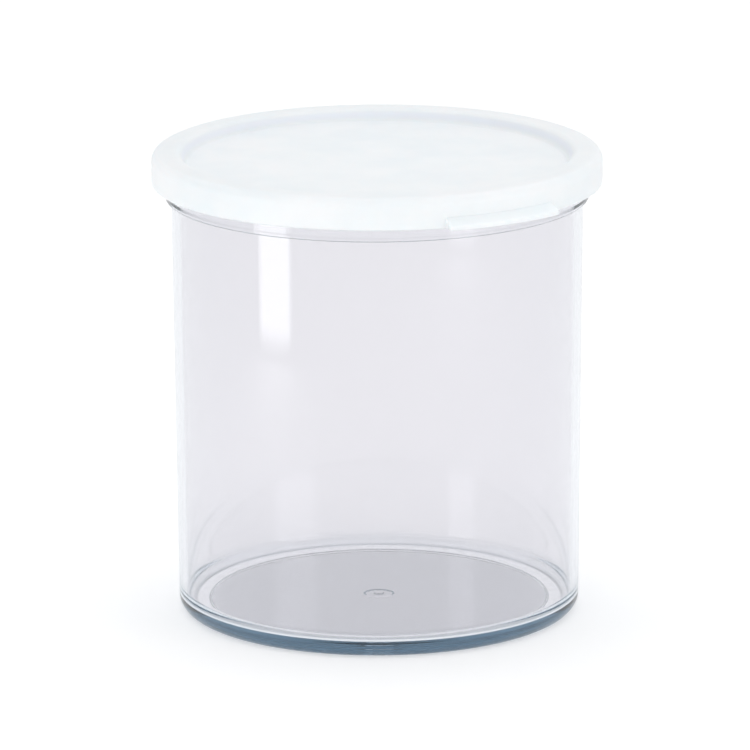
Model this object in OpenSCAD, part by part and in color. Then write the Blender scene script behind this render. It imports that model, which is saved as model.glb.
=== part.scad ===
// Round food storage container: a clear, slightly tapered crock on a foot ring, closed by a
// soft white lid whose skirt snaps over the bead round the mouth.
// Millimetres, +Z up. The crock stands on z = 0 with its axis on Z, and its front faces -Y.

/* [Container] */
// Height of the rim above the table
body_h = 169.7; // [110:0.1:260]
// Outer radius of the wall, carried down to the table
base_r = 73.5; // [50:0.1:120]
// Draft of the wall in degrees, which widens it towards the mouth
draft = 0.54; // [0:0.02:2]
// Thickness of the wall
wall_t = 3; // [2:0.1:4.5]
// Thickness of the floor
floor_t = 3.5; // [2:0.1:8]
// Radius of the heel, where the wall turns under
heel_r = 5.5; // [3:0.1:9]
// Radius inside, where the wall meets the floor
floor_corner_r = 5; // [2:0.1:15]
// Height of the foot ring
foot_h = 1.5; // [0.6:0.1:3]
// Width of the flat that the foot ring stands on
foot_w = 6; // [3:0.1:12]

/* [Rim] */
// How far the collar stands out from the wall
collar_out = 2.25; // [1:0.05:4]
// Height of the collar, up to the bead
collar_h = 9; // [6:0.1:16]
// How far the bead that holds the lid stands out from the collar
bead_out = 2; // [1:0.1:4]
// Height of the bead, up to the rim
bead_h = 6.3; // [5:0.1:10]
// Height of the ramp under the bead
bead_ramp = 1.2; // [0.5:0.1:2]
// Radius of the rim's inner and outer edges
lip_r = 2; // [1:0.1:2.5]

/* [Lid] */
// Thickness of the lid
lid_t = 1.5; // [1:0.1:2.5]
// Radius of the shoulder round the top
shoulder_r = 3.4; // [2.6:0.1:5]
// Depth of the panel below the crest
panel_drop = 4.2; // [2:0.1:6]
// Width of the slope between the panel and the crest
slope_run = 2.2; // [1:0.1:8]
// Radius of the roll where the slope meets the crest
crest_roll_r = 2.4; // [2:0.1:5]
// Radius where the slope meets the panel
panel_corner_r = 1.5; // [0.5:0.1:4]
// How far the snap ridge inside the skirt stands in
snap_out = 1; // [0.6:0.1:1.6]
// Height of the skirt below the snap ridge
skirt_tail = 1.4; // [0.8:0.1:4]
// How far the plug ring reaches below the panel
plug_h = 3.8; // [1.5:0.1:10]
// Thickness of the plug ring
plug_t = 1.4; // [1:0.1:2]

/* [Lift tab] */
// How far the tab stands out from the skirt
tab_out = 4.5; // [2:0.1:12]
// Width of the tab along the skirt
tab_w = 45; // [20:1:80]
// Thickness of the tab at its tip
tab_t = 1.6; // [1:0.1:3]
// How far the tab's top falls from the skirt to the tip
tab_fall = 2.4; // [0.5:0.1:4]
// Radius of the tab's two corners
tab_corner_r = 0.8; // [0.5:0.1:4]
// Angle in degrees from the front round to the middle of the tab
tab_turn = 33; // [-180:1:180]

/* [Fits] */
// Clearance between the snap ridge and the bead, and between the lid's slope and the rim
lid_clear = 0.3; // [0.1:0.05:0.6]
// Clearance between the plug ring and the wall
plug_clear = 0.4; // [0.1:0.05:0.8]

/* [Finish] */
// Radius of small moulded edges
edge_r = 0.6; // [0.2:0.1:0.7]

/* [Hidden] */
// Fineness of round shapes: sides of a circle, and degrees of a fillet's arc for each step
round_fn = 180;
arc_step = 7.5;
// Most of an edge that its two fillets may share, and the least divisor
edge_share = 0.98;
tiny = 0.000001;

// Outer and inner radius of the wall at a height
function wall_r(z) = base_r + z * tan(draft);
function hollow_r(z) = wall_r(z) - wall_t;

// Heights of the container, from the floor up and from the rim down
floor_z = foot_h + floor_t;
bead_z = body_h - bead_h;
collar_z = bead_z - collar_h;

// Radii of the container
foot_in_r = base_r - heel_r - foot_w;
collar_r = wall_r(collar_z) + collar_out;
bead_r = collar_r + bead_out;
mouth_r = hollow_r(body_h);

// Heights of the lid, which sits with its channel on the rim
crest_z = body_h + lid_t;
panel_z = crest_z - panel_drop;
snap_z = bead_z - lid_clear - snap_out;
edge_z = snap_z - snap_out - skirt_tail;
plug_z = panel_z - lid_t - plug_h;

// Radii of the lid: the skirt follows the bead, and the slope stays clear of the rim's inner edge
skirt_in_r = bead_r + lid_clear + snap_out;
lid_r = skirt_in_r + lid_t;
slope = atan(panel_drop / slope_run);
slope_shift = lid_t * tan(slope / 2);
channel_in_r = mouth_r + lip_r - (lip_r * (1 - cos(slope)) + lid_clear) / sin(slope);
crest_in_r = channel_in_r - slope_shift;
panel_r = crest_in_r - slope_run;
plug_r = hollow_r(plug_z) - plug_clear;

// Height of the lid's underside at a radius inside the channel
function underside_z(r) = lookup(r, [
    [panel_r + slope_shift, panel_z - lid_t],
    [channel_in_r, body_h]
]);

// The tab starts inside the skirt's wall and spans an angle at the skirt's outside
tab_root_r = lid_r - lid_t / 2;
tab_tip_r = lid_r + tab_out;
tab_angle = tab_w / lid_r * 180 / PI;

// Height of the tab's top at a radius, and of the block that it is cut from
function tab_top_z(r) = edge_z + tab_t + tab_fall * (tab_tip_r - r) / tab_out;
tab_block_h = tab_t + 2 * tab_fall;

// A section is a list of corners [radius, height, fillet radius], counter-clockwise.
// These give a corner by its place in the list, the way from one corner to another, and the
// angle that the outline turns through at a corner, which is positive where it is convex.
function corner(c, i) = c[(i + len(c)) % len(c)];
function point(c, i) = [corner(c, i).x, corner(c, i).y];
function way(c, i, j) = (point(c, j) - point(c, i)) / norm(point(c, j) - point(c, i));
function bend(c, i) =
    let (before = way(c, i - 1, i), after = way(c, i, i + 1))
    atan2(cross(before, after), before * after);

// Length that a fillet takes from each of its two edges, shortened where two fillets share an edge
function wanted(c, i) = corner(c, i).z * tan(abs(bend(c, i)) / 2);
function room(c, i) =
    norm(point(c, i + 1) - point(c, i)) / max(wanted(c, i) + wanted(c, i + 1), tiny);
function taken(c, i) = wanted(c, i) * min(1, room(c, i - 1) * edge_share, room(c, i) * edge_share);

// A fillet's arc: its first point is turned about its centre in even steps
function turn_about(p, centre, angle) =
    let (d = p - centre)
    centre + [d.x * cos(angle) - d.y * sin(angle), d.x * sin(angle) + d.y * cos(angle)];
function fillet(c, i) =
    let (
        angle = bend(c, i),
        r = taken(c, i) / tan(angle / 2),
        along = way(c, i - 1, i),
        first = point(c, i) - along * taken(c, i),
        centre = first + r * [-along.y, along.x],
        steps = ceil(abs(angle) / arc_step)
    )
    [for (k = [0:steps]) turn_about(first, centre, angle * k / steps)];

module section(c) {
    polygon([
        for (i = [0:len(c) - 1])
            each corner(c, i).z > 0 ? fillet(c, i) : [point(c, i)]
    ]);
}

module turned() {
    rotate_extrude($fn = round_fn) children();
}

// Foot ring, heel, drafted wall, collar, bead and rim, then the hollow from the mouth to the floor
module container() {
    color([0.86, 0.88, 0.93, 0.45])
    turned()
    section([
        [0, foot_h, 0],
        [foot_in_r, foot_h, edge_r],
        [foot_in_r, 0, edge_r],
        [base_r, 0, heel_r],
        [wall_r(collar_z), collar_z, edge_r],
        [collar_r, collar_z, edge_r],
        [collar_r, bead_z, edge_r],
        [bead_r, bead_z + bead_ramp, edge_r],
        [bead_r, body_h, lip_r],
        [mouth_r, body_h, lip_r],
        [hollow_r(floor_z), floor_z, floor_corner_r],
        [0, floor_z, 0]
    ]);
}

// One even wall: panel, slope, crest, shoulder and skirt, with the snap ridge inside the skirt
module lid_shell() {
    section([
        [0, panel_z - lid_t, 0],
        [panel_r + slope_shift, panel_z - lid_t, panel_corner_r + lid_t],
        [channel_in_r, body_h, crest_roll_r - lid_t],
        [skirt_in_r, body_h, shoulder_r - lid_t],
        [skirt_in_r, snap_z + snap_out, edge_r],
        [skirt_in_r - snap_out, snap_z, edge_r],
        [skirt_in_r, snap_z - snap_out, edge_r],
        [skirt_in_r, edge_z, edge_r],
        [lid_r, edge_z, edge_r],
        [lid_r, crest_z, shoulder_r],
        [crest_in_r, crest_z, crest_roll_r],
        [panel_r, panel_z, panel_corner_r],
        [0, panel_z, 0]
    ]);
}

// Ring that drops inside the mouth, with a rounded tip to lead it in
module plug_ring() {
    in_r = plug_r - plug_t;
    section([
        [in_r, plug_z, edge_r],
        [plug_r, plug_z, edge_r],
        [plug_r, underside_z(plug_r) + lid_t / 2, 0],
        [in_r, underside_z(in_r) + lid_t / 2, 0]
    ]);
}

// Block level with the skirt's lower edge, between two radii and across an angle
module tab_sector(from_r, to_r, angle) {
    rotate([0, 0, -angle / 2])
    rotate_extrude(angle = angle, $fn = round_fn)
    translate([from_r, edge_z]) square([to_r - from_r, tab_block_h]);
}

// The tab's outline from above, with its two corners rounded
module tab_outline() {
    corner_at_r = tab_tip_r - tab_corner_r;
    corner_angle = asin(tab_corner_r / corner_at_r);
    side_r = sqrt(corner_at_r * corner_at_r - tab_corner_r * tab_corner_r);
    tab_sector(tab_root_r, side_r, tab_angle);
    tab_sector((lid_r + corner_at_r) / 2, tab_tip_r, tab_angle - 2 * corner_angle);
    for (side = [-1, 1])
        rotate([0, 0, side * (tab_angle / 2 - corner_angle)])
        translate([corner_at_r, 0, edge_z])
        cylinder(r = tab_corner_r, h = tab_block_h, $fn = round_fn);
}

// Lip for a thumb, whose top falls from the skirt to the tip
module lift_tab() {
    past_r = tab_tip_r + tab_out;
    difference() {
        rotate([0, 0, tab_turn - 90]) tab_outline();
        turned() polygon([
            [skirt_in_r, tab_top_z(skirt_in_r)],
            [past_r, tab_top_z(past_r)],
            [past_r, edge_z + 2 * tab_block_h],
            [skirt_in_r, edge_z + 2 * tab_block_h]
        ]);
    }
}

module lid() {
    color([0.97, 0.98, 1])
    union() {
        turned() {
            lid_shell();
            plug_ring();
        }
        lift_tab();
    }
}

container();
lid();
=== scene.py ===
# %% [markdown]
# # A clear round crock with a soft white lid
#
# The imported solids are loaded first. They give the size, the place and the one joint, and they
# stay as they are. Two better meshes are then modelled in their place: the clear crock and its
# lid. Lengths below are in millimetres, as on a drawing, and `MM` turns them into metres.

# %% Load the frame
import math

import bmesh
import bpy
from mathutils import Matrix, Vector


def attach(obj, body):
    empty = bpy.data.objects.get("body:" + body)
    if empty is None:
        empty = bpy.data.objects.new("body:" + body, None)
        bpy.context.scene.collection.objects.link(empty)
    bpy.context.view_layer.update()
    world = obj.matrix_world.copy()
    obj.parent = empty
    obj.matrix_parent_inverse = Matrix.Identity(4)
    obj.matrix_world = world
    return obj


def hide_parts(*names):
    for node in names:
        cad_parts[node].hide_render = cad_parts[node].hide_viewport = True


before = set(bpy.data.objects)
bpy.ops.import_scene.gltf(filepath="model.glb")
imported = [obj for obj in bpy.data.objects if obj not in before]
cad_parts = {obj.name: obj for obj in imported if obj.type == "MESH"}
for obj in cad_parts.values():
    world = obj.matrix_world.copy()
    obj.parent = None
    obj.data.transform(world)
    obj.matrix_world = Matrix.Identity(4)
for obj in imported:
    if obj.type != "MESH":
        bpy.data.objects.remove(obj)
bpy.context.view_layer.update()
MM = 0.001
bpy.ops.object.select_all(action="DESELECT")

# %% [markdown]
# ## The camera
#
# The object is seen from a little above and from far away, so upright walls stay almost parallel.
# A long lens at several metres gives that. The lens follows from the width that the picture
# covers at the object, so the picture can be widened without a change of perspective.

# %% Camera
CAMERA_DISTANCE = 2.755
CAMERA_ELEVATION = math.radians(14.1)
PICTURE_WIDTH = 274.4
AIM = Vector((-1.1, 0, 86.8)) * MM
TILT = math.radians(-0.27)

camera_data = bpy.data.cameras.new("camera")
camera_data.sensor_width = 36
camera_data.lens = camera_data.sensor_width * CAMERA_DISTANCE / (PICTURE_WIDTH * MM)
camera = bpy.data.objects.new("camera", camera_data)
bpy.context.scene.collection.objects.link(camera)
towards_camera = Vector((0, -math.cos(CAMERA_ELEVATION), math.sin(CAMERA_ELEVATION)))
camera.location = AIM + towards_camera * CAMERA_DISTANCE
camera.rotation_mode = "ZYX"
camera.rotation_euler = (math.pi / 2 - CAMERA_ELEVATION, 0, TILT)
bpy.context.scene.camera = camera
print("lens in mm:", round(camera_data.lens, 1))

# %% [markdown]
# ## Floor and surroundings
#
# Clear plastic has hardly any colour of its own, so it looks like what stands around it. Here that
# is a white studio: a wide white floor and a white world. The floor is a diffuse white, so it
# takes the object's shadow, and a little light of its own lifts it to white for the camera and
# for what is seen in, or through, the plastic. High up the world has a pale grey zone, which gives
# the roundings something to mirror. The light that it sheds on surfaces is softer than the white
# that one sees, and comes a little more from behind.

# %% Floor
FLOOR_RADIUS = 6.0
FLOOR_WHITE = 0.9
FLOOR_LIFT = 0.25


def nodes_of(owner):
    """Empties the node tree of a material or world and returns its nodes and links."""
    owner.use_nodes = True
    owner.node_tree.nodes.clear()
    return owner.node_tree.nodes, owner.node_tree.links


def seen_ray(nodes, links):
    """A socket that is 1 for rays from the camera, and for rays in or through glossy surfaces."""
    path = nodes.new("ShaderNodeLightPath")
    socket = path.outputs["Is Camera Ray"]
    for other in ("Is Glossy Ray", "Is Transmission Ray"):
        either = nodes.new("ShaderNodeMath")
        either.operation = "MAXIMUM"
        links.new(socket, either.inputs[0])
        links.new(path.outputs[other], either.inputs[1])
        socket = either.outputs[0]
    return socket


bpy.ops.mesh.primitive_circle_add(vertices=128, radius=FLOOR_RADIUS, fill_type="NGON")
floor = bpy.context.object
floor.name = "floor"
floor_finish = bpy.data.materials.new("white floor")
nodes, links = nodes_of(floor_finish)
white = nodes.new("ShaderNodeBsdfDiffuse")
white.inputs["Color"].default_value = (FLOOR_WHITE, FLOOR_WHITE, FLOOR_WHITE, 1)
lift = nodes.new("ShaderNodeEmission")
scaled = nodes.new("ShaderNodeMath")
scaled.operation = "MULTIPLY"
scaled.inputs[1].default_value = FLOOR_LIFT
links.new(seen_ray(nodes, links), scaled.inputs[0])
links.new(scaled.outputs[0], lift.inputs["Strength"])
both = nodes.new("ShaderNodeAddShader")
links.new(white.outputs[0], both.inputs[0])
links.new(lift.outputs[0], both.inputs[1])
links.new(both.outputs[0], nodes.new("ShaderNodeOutputMaterial").inputs["Surface"])
floor.data.materials.append(floor_finish)
print("floor across in m:", 2 * FLOOR_RADIUS)

# %% World
WORLD_LIGHT = 0.6
WORLD_SLANT = 0.2
WORLD_TINT = (0.97, 0.98, 1.0, 1)
WHITE = (1, 1, 1, 1)
PALE_GREY = (0.8, 0.81, 0.84, 1)
WORLD_STOPS = ((0.40, WHITE), (0.62, PALE_GREY), (0.80, PALE_GREY), (0.93, WHITE))

world = bpy.data.worlds.new("white studio")
bpy.context.scene.world = world
nodes, links = nodes_of(world)
backdrop = nodes.new("ShaderNodeBackground")
backdrop.inputs["Strength"].default_value = 1.0
direction = nodes.new("ShaderNodeTexCoord")
split = nodes.new("ShaderNodeSeparateXYZ")
links.new(direction.outputs["Generated"], split.inputs[0])
by_height = nodes.new("ShaderNodeValToRGB")
by_height.color_ramp.interpolation = "EASE"
stops = by_height.color_ramp.elements
for i, (height, colour) in enumerate(WORLD_STOPS):
    stop = stops[i] if i < len(stops) else stops.new(height)
    stop.position, stop.color = height, colour
links.new(split.outputs["Z"], by_height.inputs[0])
links.new(by_height.outputs[0], backdrop.inputs["Color"])
from_behind = nodes.new("ShaderNodeMapRange")
from_behind.inputs["From Min"].default_value = -1
from_behind.inputs["To Min"].default_value = WORLD_LIGHT - WORLD_SLANT
from_behind.inputs["To Max"].default_value = WORLD_LIGHT + WORLD_SLANT
links.new(split.outputs["Y"], from_behind.inputs["Value"])
soft_light = nodes.new("ShaderNodeBackground")
soft_light.inputs["Color"].default_value = WORLD_TINT
links.new(from_behind.outputs["Result"], soft_light.inputs["Strength"])
choose = nodes.new("ShaderNodeMixShader")
links.new(seen_ray(nodes, links), choose.inputs[0])
links.new(soft_light.outputs[0], choose.inputs[1])
links.new(backdrop.outputs[0], choose.inputs[2])
links.new(choose.outputs[0], nodes.new("ShaderNodeOutputWorld").inputs["Surface"])
print("world light:", WORLD_LIGHT, "stops:", len(stops))

# %% [markdown]
# ## Lamps
#
# Two softboxes stand on the floor to the left and right in front of the object. The left one is
# low, near and bright. The curved wall shows it as a narrow upright streak, which is how one reads
# that a clear wall is round, and the streak ends half-way down, where the wall mirrors the floor
# instead. The right one fills in the lid's other side. Surfaces don't mirror it, because from
# behind it would turn the lid's top plain white. The cloth of a softbox is brightest in its middle,
# so the light fades towards its edges. A wide one behind the camera lights the front. It is kept
# out of reflections too, because the back wall and the base would show it once more as small bright
# arcs. A very soft sun stands in for a white ceiling: it falls evenly on the whole floor, so the
# floor's white is even.

# %% Lamps
CEILING_LIGHT = 0.9
CEILING_SPREAD = math.radians(100)
CEILING_TILT = math.radians(-12)


def fade_edges(data, margin):
    """Lets an area lamp's light fade over a margin, in metres, along its edges."""
    data.use_nodes = True
    nodes, links = data.node_tree.nodes, data.node_tree.links
    across = nodes.new("ShaderNodeSeparateXYZ")
    links.new(nodes.new("ShaderNodeNewGeometry").outputs["Parametric"], across.inputs[0])
    product = nodes.new("ShaderNodeMath")
    product.operation = "MULTIPLY"
    for i, length in enumerate((data.size, data.size_y)):
        from_edge = nodes.new("ShaderNodeMath")
        from_edge.operation = "PINGPONG"
        from_edge.inputs[1].default_value = 0.5
        links.new(across.outputs[i], from_edge.inputs[0])
        eased = nodes.new("ShaderNodeMapRange")
        eased.interpolation_type = "SMOOTHSTEP"
        eased.inputs["From Max"].default_value = margin / length
        links.new(from_edge.outputs[0], eased.inputs["Value"])
        links.new(eased.outputs["Result"], product.inputs[i])
    links.new(product.outputs[0], nodes["Emission"].inputs["Strength"])


def softbox(name, azimuth, distance, low, high, width, watts, margin):
    """An upright area lamp at an azimuth to the right of the camera, which faces the object."""
    data = bpy.data.lights.new(name, "AREA")
    data.shape = "RECTANGLE"
    data.size, data.size_y = width, high - low
    data.energy = watts
    fade_edges(data, margin)
    lamp = bpy.data.objects.new(name, data)
    bpy.context.scene.collection.objects.link(lamp)
    a = math.radians(azimuth)
    lamp.location = (math.sin(a) * distance, -math.cos(a) * distance, (low + high) / 2)
    lamp.rotation_euler = (math.pi / 2, 0, a)
    lamp.visible_camera = False
    return lamp


softbox("left softbox", azimuth=-55.8, distance=0.47, low=0.0, high=0.3,
        width=0.166, watts=0.32, margin=0.016)
right = softbox("right softbox", azimuth=54.0, distance=1.10, low=0.0, high=1.2,
                width=0.70, watts=4.4, margin=0.15)
right.visible_glossy = False
front = softbox("front softbox", azimuth=-10.0, distance=3.0, low=0.0, high=0.7,
                width=2.4, watts=23.0, margin=0.1)
front.visible_glossy = front.visible_transmission = False

ceiling_data = bpy.data.lights.new("ceiling", "SUN")
ceiling_data.angle = CEILING_SPREAD
ceiling_data.energy = CEILING_LIGHT
ceiling = bpy.data.objects.new("ceiling", ceiling_data)
bpy.context.scene.collection.objects.link(ceiling)
ceiling.rotation_euler.x = CEILING_TILT

# %% [markdown]
# ## Turned pieces from one section
#
# Both pieces are round mouldings, so each starts as half of its cross-section. A small plane is
# added at the section's first corner and merged to a single vertex, which is then extruded from
# corner to corner like a pen. Every corner is rounded by a vertex bevel whose offset is the
# fillet's tangent length, and one spin about the axis turns the line into a closed shell.

# %% Tools for a turned piece
SPIN_STEPS = 240
MERGE_GAP = 0.002 * MM


def plane_point(corner, turn):
    """A section's [radius, height] in millimetres as a point in the plane at an angle about Z."""
    r, z = corner[0] * MM, corner[1] * MM
    return Vector((r * math.cos(turn), r * math.sin(turn), z))


def select_vertices(obj, test):
    """Selects the vertices whose place passes a test, in edit mode, and says how many."""
    mesh = bmesh.from_edit_mesh(obj.data)
    for v in mesh.verts:
        v.select = test(v.co)
    mesh.select_flush_mode()
    bmesh.update_edit_mesh(obj.data)
    return sum(v.select for v in mesh.verts)


def trace_section(name, corners, turn):
    """Draws the corners as one line of edges, by extruding a single vertex."""
    bpy.ops.object.select_all(action="DESELECT")
    bpy.ops.mesh.primitive_plane_add(size=MM, location=plane_point(corners[0], turn))
    obj = bpy.context.object
    obj.name = name
    bpy.ops.object.transform_apply(location=True, rotation=True, scale=True)
    bpy.ops.object.mode_set(mode="EDIT")
    bpy.ops.mesh.select_mode(type="VERT")
    bpy.ops.mesh.select_all(action="SELECT")
    bpy.ops.mesh.merge(type="CENTER")
    for start, end in zip(corners, corners[1:]):
        step = plane_point(end, turn) - plane_point(start, turn)
        bpy.ops.mesh.extrude_vertices_move(TRANSFORM_OT_translate={"value": step})
    return obj


def round_corners(obj, corners, turn, degrees_per_segment):
    """Bevels each corner that has a fillet radius, with the arc's tangent length as the offset."""
    for before, here, after in zip(corners, corners[1:], corners[2:]):
        if here[2] == 0:
            continue
        way_in = Vector((here[0] - before[0], here[1] - before[1]))
        way_out = Vector((after[0] - here[0], after[1] - here[1]))
        bend = way_in.angle(way_out)
        place = plane_point(here, turn)
        select_vertices(obj, lambda co: (co - place).length < MERGE_GAP)
        bpy.ops.mesh.bevel(
            offset=here[2] * MM * math.tan(bend / 2), offset_type="ABSOLUTE", affect="VERTICES",
            segments=max(3, math.ceil(math.degrees(bend) / degrees_per_segment)),
            profile=0.5, clamp_overlap=False)


def spin_section(obj):
    """Turns the line about Z, closes the seam and the poles, and points the faces outwards."""
    bpy.ops.mesh.select_all(action="SELECT")
    bpy.ops.mesh.spin(steps=SPIN_STEPS, angle=math.tau, center=(0, 0, 0), axis=(0, 0, 1))
    bpy.ops.mesh.select_all(action="SELECT")
    bpy.ops.mesh.remove_doubles(threshold=MERGE_GAP)
    bpy.ops.mesh.normals_make_consistent(inside=False)


def smooth_finish(obj, angle):
    """Shades the piece smooth, with normals that follow its large faces rather than its fillets."""
    bpy.ops.object.mode_set(mode="OBJECT")
    bpy.ops.object.shade_smooth_by_angle(angle=math.radians(angle))
    bpy.ops.object.modifier_add(type="WEIGHTED_NORMAL")
    weighted = obj.modifiers[-1]
    weighted.keep_sharp = True
    bpy.ops.object.modifier_apply(modifier=weighted.name)


def tell(obj):
    """Prints a piece's box in millimetres, its triangles, its open edges and its volume."""
    mesh = bmesh.new()
    mesh.from_mesh(obj.data)
    sides = [[v.co[i] / MM for v in mesh.verts] for i in range(3)]
    box = [(round(min(side), 2), round(max(side), 2)) for side in sides]
    triangles = sum(len(f.verts) - 2 for f in mesh.faces)
    open_edges = sum(not e.is_manifold for e in mesh.edges)
    volume = round(mesh.calc_volume() / MM ** 3)
    mesh.free()
    print(obj.name, "box", box, "triangles", triangles, "open edges", open_edges, "mm3", volume)


print("steps in a full turn:", SPIN_STEPS)

# %% [markdown]
# ## The crock
#
# The wall widens by about half a degree towards the mouth, so that the moulding comes off its core.
# It stands on a foot ring inside a rounded heel. Under the lid's edge the wall steps out into a
# collar, and above that a bead goes round the mouth for the lid to grip. In the middle of the
# underside is the small round mark that an injection moulding has where the plastic went in.

# %% Crock's section
RIM_Z = 169.7
BASE_R = 73.5
DRAFT = math.tan(math.radians(0.54))
WALL_T = 3.0
FLOOR_Z = 5.0
FOOT_Z, FOOT_IN_R = 1.5, 62
NUB_Z, DIMPLE_Z = 1.7, 2.1
COLLAR_Z, BEAD_Z, RAMP_Z = 154.4, 163.4, 164.6
COLLAR_OUT, BEAD_OUT = 2.25, 2.0
WALL_TOP_R = BASE_R + COLLAR_Z * DRAFT
COLLAR_R = WALL_TOP_R + COLLAR_OUT
BEAD_R = COLLAR_R + BEAD_OUT
EDGE = 0.6
HEEL_R, FLOOR_CORNER_R, LIP_R = 5.5, 5.0, 2.0

# Each corner is [radius, height, fillet radius], with 0 where it stays sharp
gate_mark = [
    [0, NUB_Z, 0],
    [1.5, NUB_Z, 0.3],
    [1.8, DIMPLE_Z, 0.2],
    [5, DIMPLE_Z, 0.4],
    [5.6, FOOT_Z, 0.4],
]
crock_section = gate_mark + [
    [FOOT_IN_R, FOOT_Z, EDGE],
    [FOOT_IN_R, 0, EDGE],
    [BASE_R, 0, HEEL_R],
    [WALL_TOP_R, COLLAR_Z, EDGE],
    [COLLAR_R, COLLAR_Z, EDGE],
    [COLLAR_R, BEAD_Z, EDGE],
    [BEAD_R, RAMP_Z, EDGE],
    [BEAD_R, RIM_Z, LIP_R],
    [BASE_R + RIM_Z * DRAFT - WALL_T, RIM_Z, LIP_R],
    [BASE_R + FLOOR_Z * DRAFT - WALL_T, FLOOR_Z, FLOOR_CORNER_R],
    [0, FLOOR_Z, 0],
]
print("crock's section:", len(crock_section), "corners, bead radius", round(BEAD_R, 2))

# %% Crock
crock = trace_section("crock", crock_section, turn=0)
round_corners(crock, crock_section, turn=0, degrees_per_segment=7.5)
spin_section(crock)
smooth_finish(crock, angle=40)
tell(crock)

# %% [markdown]
# ## The lid
#
# The lid is one soft moulding of even thickness. Its panel lies below the crest, and a steep slope
# joins the two. The skirt reaches down over the bead, with a snap ridge inside, and a plug ring
# stands in the mouth. The section goes once round all of that. The spin starts at one end of the
# lift tab, so that the tab begins and ends on the mesh's own edges.

# %% Lid's section
LID_T = 1.5
LID_R, SKIRT_IN_R = 82.005, 80.505
CREST_Z, PANEL_Z, SKIRT_Z = 171.2, 167.0, 159.7
TAB_T, TAB_FALL = 1.6, 2.4
TAB_ROOT_Z = SKIRT_Z + TAB_T + TAB_FALL
SNAP_Z, SNAP_OUT = 162.1, 1.0
SHOULDER_R, CREST_ROLL_R, PANEL_CORNER_R = 3.4, 2.4, 1.5
PLUG_CORNER_R = 0.4
PLUG_IN_R, PLUG_R, PLUG_Z = 70.224, 71.624, 161.7
PLUG_ROOT_Z = 167.93
CHANNEL_IN_R, CREST_IN_R, PANEL_R = 72.551, 71.643, 69.443

lid_section = [
    [0, PANEL_Z - LID_T, 0],
    [PLUG_IN_R, PANEL_Z - LID_T, PLUG_CORNER_R],
    [PLUG_IN_R, PLUG_Z, EDGE],
    [PLUG_R, PLUG_Z, EDGE],
    [PLUG_R, PLUG_ROOT_Z, PLUG_CORNER_R],
    [CHANNEL_IN_R, RIM_Z, CREST_ROLL_R - LID_T],
    [SKIRT_IN_R, RIM_Z, SHOULDER_R - LID_T],
    [SKIRT_IN_R, SNAP_Z + SNAP_OUT, EDGE],
    [SKIRT_IN_R - SNAP_OUT, SNAP_Z, EDGE],
    [SKIRT_IN_R, SNAP_Z - SNAP_OUT, EDGE],
    [SKIRT_IN_R, SKIRT_Z, EDGE],
    [LID_R, SKIRT_Z, EDGE],
    [LID_R, TAB_ROOT_Z, 0],
    [LID_R, CREST_Z, SHOULDER_R],
    [CREST_IN_R, CREST_Z, CREST_ROLL_R],
    [PANEL_R, PANEL_Z, PANEL_CORNER_R],
    [0, PANEL_Z, 0],
]
print("lid's section:", len(lid_section), "corners, panel depth", round(CREST_Z - PANEL_Z, 2))

# %% Lid
TAB_TURN = 33
TAB_MIDDLE = math.radians(TAB_TURN - 90)
TAB_HALF = math.radians(15.75)

lid = trace_section("soft_lid", lid_section, turn=TAB_MIDDLE - TAB_HALF)
round_corners(lid, lid_section, turn=TAB_MIDDLE - TAB_HALF, degrees_per_segment=9)
spin_section(lid)
print("lid's shell is spun in", SPIN_STEPS, "steps")

# %% [markdown]
# ## The lift tab
#
# A thumb lifts the lid by a low lip along the skirt's lower edge. The skirt's lowest row of outer
# faces is extruded there and scaled away from the axis. The tip's lower edge is then moved down
# level with the skirt's, and its upper edge further, so that the lip's top falls outwards. Its two
# upright corners are beveled round, and its rim a little.

# %% Lift tab
TAB_OUT_R = LID_R + 4.5
TAB_CORNER_R = 0.8
TAB_EDGE_R = 0.35
CLEAR_OF_SKIRT = 1.0
NEAR = 0.02
SHARP = math.radians(50)


def from_tab_middle(co):
    """Angle about Z between a point and the tab's middle."""
    return math.atan2(co.y, co.x) - TAB_MIDDLE


def radius(co):
    """Distance from the axis in millimetres."""
    return math.hypot(co.x, co.y) / MM


bpy.ops.mesh.select_mode(type="FACE")
bpy.ops.mesh.select_all(action="DESELECT")
shell = bmesh.from_edit_mesh(lid.data)
for face in shell.faces:
    co = face.calc_center_median()
    in_row = radius(co) > LID_R - NEAR and SKIRT_Z + EDGE < co.z / MM < TAB_ROOT_Z
    face.select_set(in_row and abs(from_tab_middle(co)) < TAB_HALF)
bmesh.update_edit_mesh(lid.data)
print("faces under the tab:", sum(f.select for f in shell.faces))
bpy.ops.mesh.extrude_region_move()
reach = TAB_OUT_R / LID_R
bpy.ops.transform.resize(value=(reach, reach, 1), center_override=(0, 0, 0))
bpy.ops.mesh.select_mode(type="VERT")
for height, fall in ((SKIRT_Z + EDGE, EDGE), (TAB_ROOT_Z, TAB_FALL)):
    moved = select_vertices(
        lid, lambda co: radius(co) > LID_R + CLEAR_OF_SKIRT and abs(co.z / MM - height) < NEAR)
    bpy.ops.transform.translate(value=(0, 0, -fall * MM))
    print("vertices of the tip moved down by", fall, "mm:", moved)

# %% Tab's edges


def select_sharp_edges(obj, upright):
    """Selects the tab's sharp outer edges in edit mode, or only the upright ones at its ends."""
    bpy.ops.mesh.select_mode(type="EDGE")
    bpy.ops.mesh.select_all(action="DESELECT")
    mesh = bmesh.from_edit_mesh(obj.data)
    for e in mesh.edges:
        a, b = (v.co for v in e.verts)
        sharp = radius((a + b) / 2) > LID_R + NEAR and e.calc_face_angle_signed(0) > SHARP
        at_tip = min(radius(a), radius(b)) > TAB_OUT_R - NEAR and abs(a.z - b.z) > MM
        e.select_set(sharp and (at_tip or not upright))
    bmesh.update_edit_mesh(obj.data)
    return sum(e.select for e in mesh.edges)


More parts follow.
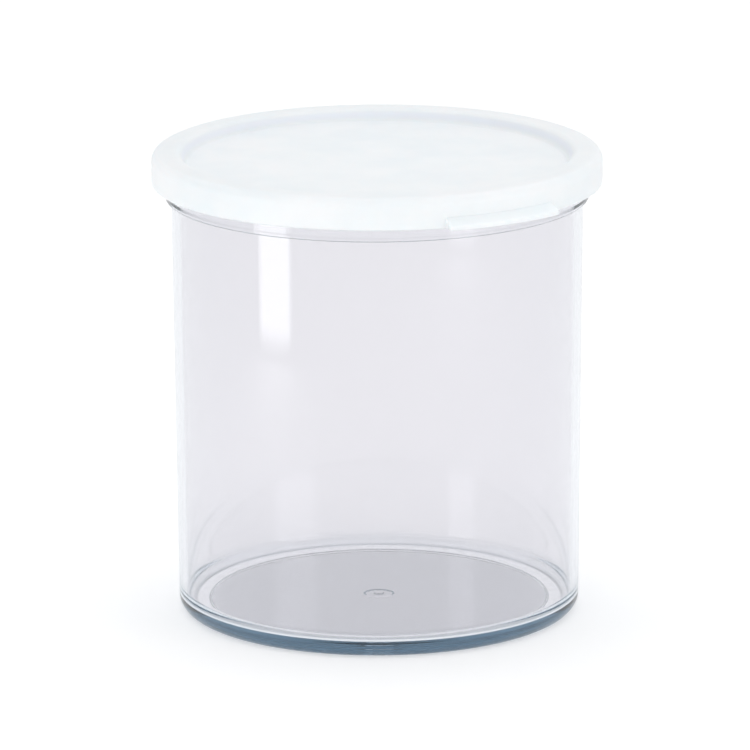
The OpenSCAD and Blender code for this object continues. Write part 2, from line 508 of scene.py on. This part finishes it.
print("upright edges:", select_sharp_edges(lid, True))
bpy.ops.mesh.bevel(offset=TAB_CORNER_R * MM, segments=6, affect="EDGES", clamp_overlap=False)
print("rim edges:", select_sharp_edges(lid, False))
bpy.ops.mesh.bevel(offset=TAB_EDGE_R * MM, segments=4, affect="EDGES", clamp_overlap=False)
smooth_finish(lid, angle=30)
tell(lid)

# %% [markdown]
# ## Clear plastic
#
# The crock is a hard clear plastic. It bends light more than window glass, and it takes a little
# more red than blue out of light that goes far in it, so the thin wall looks clear while the thick
# base and the edges look grey-blue. A moulded wall is never quite even: a faint ripple bends
# what is seen through it, and the foot is dulled where it slides on a table. For rays that look for
# a lamp the surface is a pale film, so light reaches the inside and the floor below.

# %% Clear plastic
CLEAR_IOR = 1.57
CLEAR_POLISH = 0.012
SURFACE_TINT = (0.903, 0.884, 0.898, 1)
DEPTH_TINT, DEPTH_DENSITY = (0.308, 0.5, 0.616, 1), 22.5
FILM_TINT = (0.93, 0.94, 0.96, 1)

clear_plastic = bpy.data.materials.new("clear plastic")
nodes, links = nodes_of(clear_plastic)
place = nodes.new("ShaderNodeTexCoord").outputs["Object"]


def noise(source, scale, detail):
    """A noise texture on a place, as a socket from 0 to 1."""
    texture = nodes.new("ShaderNodeTexNoise")
    texture.inputs["Scale"].default_value = scale
    texture.inputs["Detail"].default_value = detail
    links.new(source, texture.inputs["Vector"])
    return texture.outputs["Fac"]


def remap(value, span, to):
    """A value from one range put into another, and held inside it."""
    ranged = nodes.new("ShaderNodeMapRange")
    for name, number in zip(("From Min", "From Max", "To Min", "To Max"), (*span, *to)):
        ranged.inputs[name].default_value = number
    links.new(value, ranged.inputs["Value"])
    return ranged.outputs["Result"]


def combine(kind, a, b):
    """Two values joined by a sum, a product or another operation."""
    joined = nodes.new("ShaderNodeMath")
    joined.operation = kind
    for value, socket in ((a, joined.inputs[0]), (b, joined.inputs[1])):
        if isinstance(value, (int, float)):
            socket.default_value = value
        else:
            links.new(value, socket)
    return joined.outputs[0]


def bump(height, distance, strength, normal=None):
    """A bump of a height socket, laid over another normal if there is one."""
    made = nodes.new("ShaderNodeBump")
    made.inputs["Strength"].default_value = strength
    made.inputs["Distance"].default_value = distance
    links.new(height, made.inputs["Height"])
    if normal is not None:
        links.new(normal, made.inputs["Normal"])
    return made.outputs["Normal"]


heights = nodes.new("ShaderNodeSeparateXYZ")
links.new(place, heights.inputs[0])
scuffs = remap(noise(place, scale=90, detail=6), span=(0.45, 0.75), to=(0.0, 0.03))
worn_foot = remap(heights.outputs["Z"], span=(0.2 * MM, 1.0 * MM), to=(0.3, 0.0))
ripple = bump(noise(place, scale=30, detail=1), distance=0.02 * MM, strength=0.35)

plastic = nodes.new("ShaderNodeBsdfPrincipled")
plastic.inputs["Base Color"].default_value = SURFACE_TINT
plastic.inputs["Transmission Weight"].default_value = 1.0
plastic.inputs["IOR"].default_value = CLEAR_IOR
roughness = combine("ADD", combine("ADD", scuffs, worn_foot), CLEAR_POLISH)
links.new(roughness, plastic.inputs["Roughness"])
links.new(ripple, plastic.inputs["Normal"])
tint = nodes.new("ShaderNodeVolumeAbsorption")
tint.inputs["Color"].default_value = DEPTH_TINT
tint.inputs["Density"].default_value = DEPTH_DENSITY
for_lamps = nodes.new("ShaderNodeBsdfTransparent")
for_lamps.inputs["Color"].default_value = FILM_TINT
surface = nodes.new("ShaderNodeMixShader")
links.new(nodes.new("ShaderNodeLightPath").outputs["Is Shadow Ray"], surface.inputs[0])
links.new(plastic.outputs[0], surface.inputs[1])
links.new(for_lamps.outputs[0], surface.inputs[2])
out = nodes.new("ShaderNodeOutputMaterial")
links.new(surface.outputs[0], out.inputs["Surface"])
links.new(tint.outputs[0], out.inputs["Volume"])
crock.data.materials.append(clear_plastic)
print("clear plastic:", len(nodes), "nodes")

# %% [markdown]
# ## Soft white plastic
#
# The lid is a soft, waxy plastic that lets some light through. Light goes a few millimetres into
# it and comes out again, which is what subsurface scattering does. The steep slope round the panel
# gets a painted bluish shade, standing in for the shade in the recess, in a ring that is found by
# its distance from the axis. The surface has a fine satin grain from the mould, and the panel is
# not quite flat, so that its reflections waver.

# %% Lid plastic
LID_IOR = 1.51
CLOUD_DARK, CLOUD_LIGHT = (0.855, 0.902, 0.93), (0.905, 0.938, 0.955)
# Painted shade: a bluish colour on the recess's steep slope, in place of the shade that falls there
PAINTED_SLOPE_SHADE = (0.87, 0.905, 0.985)
SLOPE_RISE, SLOPE_FALL = (69.5 * MM, 70.3 * MM), (70.7 * MM, 71.5 * MM)
SCATTER_WEIGHT, SCATTER_DEPTH = 0.5, 2.0 * MM
SCATTER_RADIUS = (0.8, 0.95, 1.0)

lid_plastic = bpy.data.materials.new("lid plastic")
nodes, links = nodes_of(lid_plastic)
place = nodes.new("ShaderNodeTexCoord").outputs["Object"]


def mix_colours(factor, a, b):
    """A mix of two colours, each a value or a socket, as a socket."""
    mixed = nodes.new("ShaderNodeMix")
    mixed.data_type = "RGBA"
    links.new(factor, mixed.inputs["Factor"])
    for value, name in ((a, "A"), (b, "B")):
        if isinstance(value, tuple):
            mixed.inputs[name].default_value = (*value, 1)
        else:
            links.new(value, mixed.inputs[name])
    return mixed.outputs["Result"]


across = nodes.new("ShaderNodeVectorMath")
across.operation = "MULTIPLY"
across.inputs[1].default_value = (1, 1, 0)
links.new(place, across.inputs[0])
from_axis = nodes.new("ShaderNodeVectorMath")
from_axis.operation = "LENGTH"
links.new(across.outputs["Vector"], from_axis.inputs[0])
# The ring on the slope where the painted bluish shade goes, found by distance from the axis
rising = remap(from_axis.outputs["Value"], span=SLOPE_RISE, to=(0, 1))
falling = remap(from_axis.outputs["Value"], span=SLOPE_FALL, to=(1, 0))
painted_shade_ring = combine("MULTIPLY", rising, falling)
cloudy = remap(noise(place, scale=38, detail=4), span=(0.35, 0.65), to=(0, 1))
cloud = mix_colours(cloudy, CLOUD_DARK, CLOUD_LIGHT)

soft = nodes.new("ShaderNodeBsdfPrincipled")
links.new(mix_colours(painted_shade_ring, cloud, PAINTED_SLOPE_SHADE), soft.inputs["Base Color"])
soft.inputs["IOR"].default_value = LID_IOR
soft.inputs["Subsurface Weight"].default_value = SCATTER_WEIGHT
soft.inputs["Subsurface Radius"].default_value = SCATTER_RADIUS
soft.inputs["Subsurface Scale"].default_value = SCATTER_DEPTH
satin = remap(noise(place, scale=160, detail=5), span=(0.3, 0.7), to=(0.32, 0.46))
links.new(satin, soft.inputs["Roughness"])
waver = bump(noise(place, scale=16, detail=2), distance=0.25 * MM, strength=0.6)
grain = bump(noise(place, scale=2600, detail=2), distance=0.012 * MM, strength=0.5, normal=waver)
links.new(grain, soft.inputs["Normal"])
links.new(soft.outputs[0], nodes.new("ShaderNodeOutputMaterial").inputs["Surface"])
lid.data.materials.append(lid_plastic)
print("lid plastic:", len(nodes), "nodes")

# %% [markdown]
# ## Set on the frame
#
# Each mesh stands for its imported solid, which stays hidden for the physics. The crock is the body
# that stands still, and the lid rides on the body that lifts. Light that goes through both walls of
# the crock and its base crosses many surfaces, so the renderer is allowed many bounces.

# %% Bodies and size
CLEAR_BOUNCES = 32
GLOSSY_BOUNCES = 16

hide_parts("container")
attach(crock, "container")
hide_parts("lid")
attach(lid, "lid")

scene = bpy.context.scene
scene.view_settings.view_transform = "Standard"
scene.cycles.max_bounces = CLEAR_BOUNCES
scene.cycles.transmission_bounces = CLEAR_BOUNCES
scene.cycles.glossy_bounces = GLOSSY_BOUNCES
